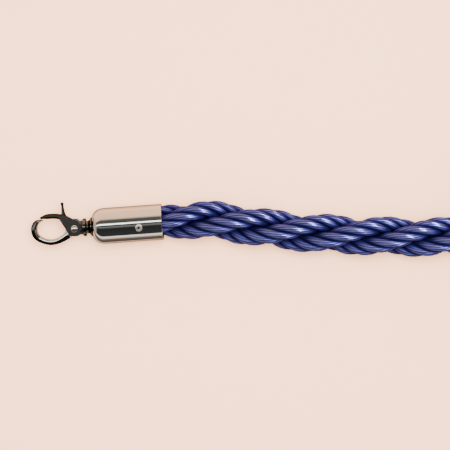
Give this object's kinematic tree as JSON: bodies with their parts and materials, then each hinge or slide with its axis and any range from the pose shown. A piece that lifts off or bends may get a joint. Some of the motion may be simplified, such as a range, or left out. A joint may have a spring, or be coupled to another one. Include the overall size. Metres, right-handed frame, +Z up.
{
  "type": "twisted barrier rope",
  "caption": "Thick twisted barrier rope with chromed end caps and swivelling trigger snap hooks, folded in a tied hank.",
  "frame": {"origin": "centre of the near hook's seat, the small flat land inside the bow that bears on a stanchion's ring", "axes": "+X along the near fitting from the hook's seat towards the rope, +Y towards the gate's thumb lever, +Z up from the floor that the rope lies on"},
  "size_m": [0.8469, 0.2235, 0.034],
  "materials": {
    "chrome_fitting": "polished chrome plate on cast hook and drawn cap",
    "plain_steel": "plain zinc plated",
    "blue_rope": "satin twisted cord, navy to royal blue",
    "binding_twine": "matt whipping round the rope's end",
    "strap_webbing": "matt woven touch-fastening strap"
  },
  "bodies": {
    "rope_and_caps": {"rope": "blue_rope", "tie_strap": "strap_webbing", "near_end_cap": "chrome_fitting", "near_fixing_screw_1": "chrome_fitting", "near_fixing_screw_2": "chrome_fitting", "near_bound_end": "binding_twine", "near_swivel_collar": "chrome_fitting", "near_swivel_washer": "plain_steel", "far_end_cap": "chrome_fitting", "far_fixing_screw_1": "chrome_fitting", "far_fixing_screw_2": "chrome_fitting", "far_bound_end": "binding_twine", "far_swivel_collar": "chrome_fitting", "far_swivel_washer": "plain_steel"},
    "near_swivel_hook": {"near_hook": "chrome_fitting", "near_pivot_rivet": "chrome_fitting", "near_gate_spring": "plain_steel", "near_swivel_nut": "plain_steel"},
    "near_trigger": {"near_gate": "chrome_fitting"},
    "far_swivel_hook": {"far_hook": "chrome_fitting", "far_pivot_rivet": "chrome_fitting", "far_gate_spring": "plain_steel", "far_swivel_nut": "plain_steel"},
    "far_trigger": {"far_gate": "chrome_fitting"}
  },
  "joints": [
    {"name": "near_swivel", "type": "hinge", "parent": "rope_and_caps", "child": "near_swivel_hook", "pos_m": [0.0386, 0, 0], "axis": [1, 0, 0], "continuous": true},
    {"name": "near_gate_hinge", "type": "hinge", "parent": "near_swivel_hook", "child": "near_trigger", "pos_m": [0.0278, -0.0006, 0], "axis": [0, 0, -1], "range_deg": [0, 35], "stiffness_Nm_per_rad": 0.04, "springref_deg": -28.65, "deforming": ["near_gate_spring"]},
    {"name": "far_swivel", "type": "hinge", "parent": "rope_and_caps", "child": "far_swivel_hook", "pos_m": [0.359, 0.015, 0], "axis": [1, 0, 0], "continuous": true},
    {"name": "far_gate_hinge", "type": "hinge", "parent": "far_swivel_hook", "child": "far_trigger", "pos_m": [0.3482, 0.0144, 0], "axis": [0, 0, -1], "range_deg": [0, 35], "stiffness_Nm_per_rad": 0.04, "springref_deg": -28.65, "deforming": ["far_gate_spring"]}
  ]
}
